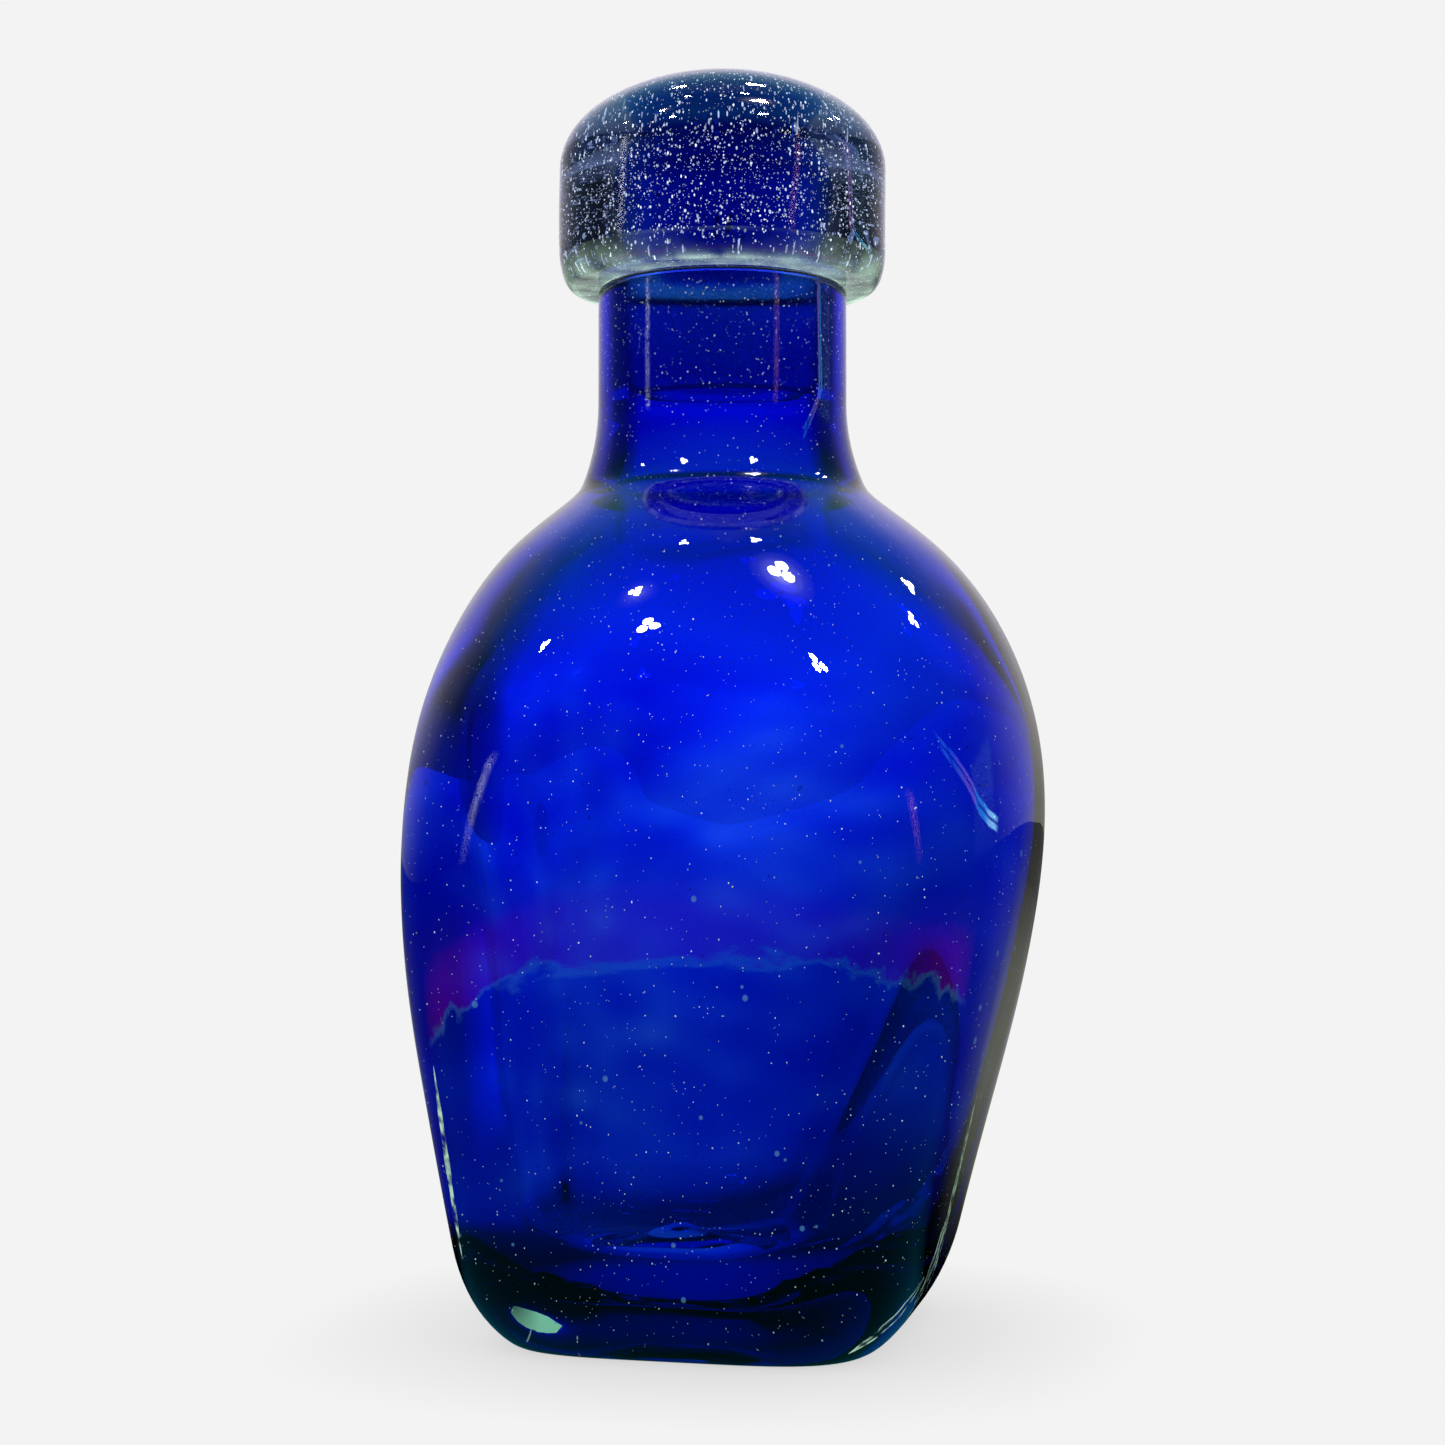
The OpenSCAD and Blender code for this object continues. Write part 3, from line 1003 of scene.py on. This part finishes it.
def through_light(graph, off_back, rise):
    """A bright panel behind, with a dark flag on each side of it a little above the horizon."""
    low_panel = ramp(graph, off_back, [
        (0, 1.0), (22, 1.0), (36, 0.45), (50, 0.35), (70, 0.5), (90, 0.7)], OFF_BACKS)
    high_panel = ramp(graph, off_back, [
        (0, 1.0), (20, 1.0), (29, 0.15), (36, 0.04), (60, 0.05), (80, 0.5)], OFF_BACKS)
    flag = ramp(graph, rise, [(-2, 0.0), (10, 1.0), (26, 1.0), (34, 0.0)], RISES)
    height = ramp(graph, rise, [
        (-12, 0.52), (0, 0.52), (6, 0.74), (13, 1.0), (22, 0.9), (35, 0.75), (60, 0.5), (90, 0.3)], RISES)
    panel = blended(graph, low_panel, high_panel, flag)
    return scaled(graph, times(graph, panel, height), THROUGH_STRENGTH)


def mirrored_sides(graph, off_back, rise):
    """Pale behind and dark towards the camera, brightest some way above the horizon."""
    lilac = (0.93, 0.88, 1.0)
    sides = ramp(graph, off_back, [
        (0, lilac), (16, lilac), (34, (0.55, 0.53, 0.56)), (50, (0.26, 0.27, 0.3)),
        (64, (0.05, 0.1, 0.15)), (85, (0.01, 0.02, 0.03)), (180, 0.004)], OFF_BACKS)
    above = ramp(graph, rise, [
        (-20, (0.14, 0.15, 0.12)), (0, (0.26, 0.27, 0.2)), (12, 0.8), (24, 1.0), (36, 0.9),
        (46, 0.3), (60, 0.1), (90, 0.1)], RISES)
    return times(graph, sides, above)


def mirrored_streaks(graph, place, round_from, rise):
    """Upright streaks of small lights to the left and right, low over the horizon."""
    pink = (0.4, 0.14, 0.14)
    blue = (0.03, 0.06, 0.08)
    streaks = ramp(graph, round_from, [
        (-75, 0.0), (-74, 0.7), (-71, 0.7), (-70, 0.0), (47, 0.0), (49, pink), (51, pink), (53, 0.0),
        (98, 0.0), (100, blue), (116, blue), (118, 0.0)], AZIMUTHS)
    spots = ramp(graph, noise(graph, place, 420, 1.0), [(0.52, 0.0), (0.58, 1.0)])
    band = ramp(graph, rise, [(-2, 0.0), (5, 0.5), (9, 1.0), (16, 1.0), (18, 0.0)], RISES)
    return scaled(graph, times(graph, times(graph, streaks, spots), band), STREAK_STRENGTH)


def mirrored_window(graph, round_from, rise):
    """A tall bright window to the right: a pair of panes that slants down as it goes round."""
    top_rise = RISES[1]
    slant = [(78, 31), (84, 25), (93, 17), (103, 8.5), (112, 4.5), (121, 2)]
    middle = ramp(graph, round_from, [(a, e / top_rise) for a, e in slant], AZIMUTHS)
    slender = ramp(graph, round_from, [(88, 0.4), (104, 0.6), (121, 1.0)], AZIMUTHS)
    above_middle = maths(graph, "MULTIPLY_ADD", middle, -float(top_rise), rise)
    across = maths(graph, "MULTIPLY", above_middle, maths(graph, "MULTIPLY", slender, 2.6))
    panes = ramp(graph, across, [
        (-3.4, 0.0), (-2.8, 1.0), (-0.9, 1.0), (-0.5, 0.1), (0.3, 0.1), (0.7, 1.0), (2.2, 1.0),
        (2.8, 0.0)], (-10, 10))
    colour = ramp(graph, round_from, [
        (81, 0.0), (82, (0.03, 0.2, 0.4)), (85, (0.03, 0.2, 0.4)), (86, 0.0), (87, (0.02, 0.16, 0.36)),
        (90, (0.12, 0.16, 0.36)), (99, (0.3, 0.14, 0.4)), (101, (0.02, 0.3, 0.62)),
        (109, (0.03, 0.4, 0.75)), (112, (0.35, 0.9, 1.0)), (118, (0.35, 0.9, 1.0)), (122, 0.0)], AZIMUTHS)
    return scaled(graph, times(graph, panes, colour), WINDOW_STRENGTH)


def mirrored_halo(graph, place, azimuth, elevation, radius, strength):
    """A soft round glow about a lamp."""
    near = along(graph, place, towards_lamp(azimuth, elevation))
    edge, middle, inner = (math.cos(math.radians(radius * share)) for share in (1, 0.7, 0.4))
    soft = ramp(graph, near, [(edge, 0.0), (middle, 0.07), (inner, 0.3), (1, 1.0)], (0.9, 1))
    return scaled(graph, soft, strength)


def make_world():
    """A pale backdrop, with other light through the glass and in its reflections."""
    world = bpy.data.worlds.new("studio")
    world.use_nodes = True
    scene.world = world
    nodes, links = world.node_tree.nodes, world.node_tree.links
    nodes.clear()
    graph = (nodes, links)
    output = nodes.new("ShaderNodeOutputWorld")
    place = coordinates(graph, "Generated")
    x, y, z = split_xyz(graph, place)
    azimuth = maths(graph, "ARCTAN2", x, maths(graph, "MULTIPLY", y, -1.0))
    turn = maths(graph, "SUBTRACT", azimuth, VIEW_AZIMUTH)
    # Degrees round from the camera's side, to the right of the picture
    round_from = maths(graph, "MULTIPLY", maths(graph, "WRAP", turn, math.pi, -math.pi), 180 / math.pi)
    off_back = maths(graph, "SUBTRACT", 180.0, maths(graph, "ABSOLUTE", round_from))
    rise = maths(graph, "MULTIPLY", maths(graph, "ARCSINE", z), 180 / math.pi)

    ceiling = ramp(graph, rise, [
        (25, 0.0), (50, (0.02, 0.34, 0.5)), (66, (0.02, 0.26, 0.4)), (90, (0.02, 0.2, 0.32))], RISES)
    mirrored = mirrored_sides(graph, off_back, rise)
    mirrored = plus(graph, mirrored, mirrored_streaks(graph, place, round_from, rise))
    mirrored = plus(graph, mirrored, ceiling)
    mirrored = plus(graph, mirrored, mirrored_window(graph, round_from, rise))
    for halo in HALOS:
        mirrored = plus(graph, mirrored, mirrored_halo(graph, place, *halo))
    through = through_light(graph, off_back, rise)
    three_ways(graph, output, "ShaderNodeBackground", plain_colour(graph, PALE), mirrored, through)


def mirrored_floor(graph, place, away, ahead):
    """A dark table before the bottle, with a bright ragged edge and red beyond it, and grey behind."""
    red = (0.55, 0.008, 0.1)
    line = (0.25, 0.85, 1.0)
    deep = (0.004, 0.08, 0.13)
    uneven = maths(graph, "SUBTRACT", noise(graph, place, 13, 7, 0.62), 0.5)
    ragged = maths(graph, "MULTIPLY_ADD", uneven, 0.14, away)
    table = ramp(graph, ragged, [
        (0, deep), (0.262, deep), (0.267, line), (0.273, line), (0.28, red), (0.36, red),
        (0.5, (0.06, 0.04, 0.08)), (0.9, (0.0, 0.02, 0.05))], DISTANCES)
    before = ramp(graph, ahead, [(-0.3, 0.0), (0.1, 1.0)], COSINES)
    blush = ramp(graph, ahead, [
        (-1, 1.0), (0.45, 1.0), (0.9, (0.3, 0.8, 0.6)), (1, (0.2, 0.7, 0.5))], COSINES)
    behind = ramp(graph, ahead, [
        (-1, (0.75, 0.74, 0.72)), (-0.985, (0.5, 0.5, 0.44)), (-0.93, (0.24, 0.25, 0.19)),
        (-0.84, (0.08, 0.09, 0.07)), (-0.5, (0.03, 0.04, 0.05)), (0.34, 0.0)], COSINES)
    distant = ramp(graph, away, [
        (0.08, 0.0), (0.2, 0.7), (0.35, 0.95), (0.6, 0.8), (1.0, 0.45), (1.6, 0.22), (3.0, 0.16)], DISTANCES)
    return plus(graph, times(graph, times(graph, table, before), blush), times(graph, behind, distant))


def through_floor(graph, away, ahead):
    """Light from the floor: bright under the foot, dark in a ring round it, and brighter outwards."""
    light = ramp(graph, away, [
        (0, 1.0), (0.034, 0.9), (0.042, 0.08), (0.07, 0.2), (0.09, 0.6), (0.15, 0.75), (0.35, 0.75),
        (0.7, 0.95), (1.2, 1.1), (3.0, 1.5)], DISTANCES)
    before = ramp(graph, ahead, [(-0.4, 0.0), (0.1, 1.0)], COSINES)
    table = ramp(graph, away, [(0.14, 0.0), (0.2, 1.2), (0.42, 1.2), (0.6, 0.0)], DISTANCES)
    return plus(graph, light, times(graph, before, table))


def make_floor():
    """A plain pale floor, softly shaded round the foot of the bottle."""
    data = bpy.data.meshes.new("floor")
    corners = [(x * FLOOR_REACH, y * FLOOR_REACH, 0) for x, y in ((-1, -1), (1, -1), (1, 1), (-1, 1))]
    data.from_pydata(corners, [], [(0, 1, 2, 3)])
    floor = bpy.data.objects.new("floor", data)
    scene.collection.objects.link(floor)
    floor.location.z = -FLOOR_GAP
    m, graph, output = new_material("pale_floor")
    nodes, links = graph
    data.materials.append(m)
    shade = nodes.new("ShaderNodeAmbientOcclusion")
    shade.inputs["Distance"].default_value = SHADE_REACH
    seen = ramp(graph, shade.outputs["AO"], [(0, PALE * SHADE_DARKEST), (1, PALE)])
    place = coordinates(graph, "Object")
    length = nodes.new("ShaderNodeVectorMath")
    length.operation = "LENGTH"
    links.new(place, length.inputs[0])
    away = length.outputs["Value"]
    # The cosine of the angle between the camera's side and a place on the floor
    camera_side = (math.sin(VIEW_AZIMUTH), -math.cos(VIEW_AZIMUTH), 0)
    ahead = maths(graph, "DIVIDE", along(graph, place, camera_side), away)
    mirrored = mirrored_floor(graph, place, away, ahead)
    three_ways(graph, output, "ShaderNodeEmission", seen, mirrored, through_floor(graph, away, ahead))


def add_lamps():
    """Clusters of small round lamps overhead, seen only as highlights in the glass."""
    for k, (azimuth, elevation, size) in enumerate(LAMPS):
        away = towards_lamp(azimuth, elevation)
        for j in range(LAMPS_TOGETHER):
            light = bpy.data.lights.new(f"lamp_{k}_{j}", "AREA")
            light.shape = "DISK"
            light.size = size
            light.energy = LAMP_RADIANCE * math.pi * math.pi * size**2 / 4
            light.cycles.cast_shadow = False
            lamp = bpy.data.objects.new(f"lamp_{k}_{j}", light)
            scene.collection.objects.link(lamp)
            aside = away.orthogonal().normalized()
            aside.rotate(Quaternion(away, math.tau * j / LAMPS_TOGETHER + k))
            lamp.location = Vector((NECK_X, 0, BELLY_Z)) + away * LAMP_DISTANCE + aside * size * LAMP_SPREAD
            lamp.rotation_mode = "QUATERNION"
            lamp.rotation_quaternion = away.to_track_quat("Z", "Y")
            lamp.visible_diffuse = False


def make_camera():
    data = bpy.data.cameras.new("view")
    data.lens = LENS
    data.sensor_width = SENSOR_WIDTH
    data.shift_y = SHIFT_Y
    data.clip_start = 0.01
    camera = bpy.data.objects.new("view", data)
    scene.collection.objects.link(camera)
    back = np.array([math.sin(VIEW_AZIMUTH), -math.cos(VIEW_AZIMUTH), 0.0])
    camera.location = np.array([NECK_X, 0, VIEW_HEIGHT]) + back * VIEW_DISTANCE
    camera.rotation_euler = (math.pi / 2, 0, VIEW_AZIMUTH)
    scene.camera = camera


make_world()
make_floor()
make_camera()
add_lamps()
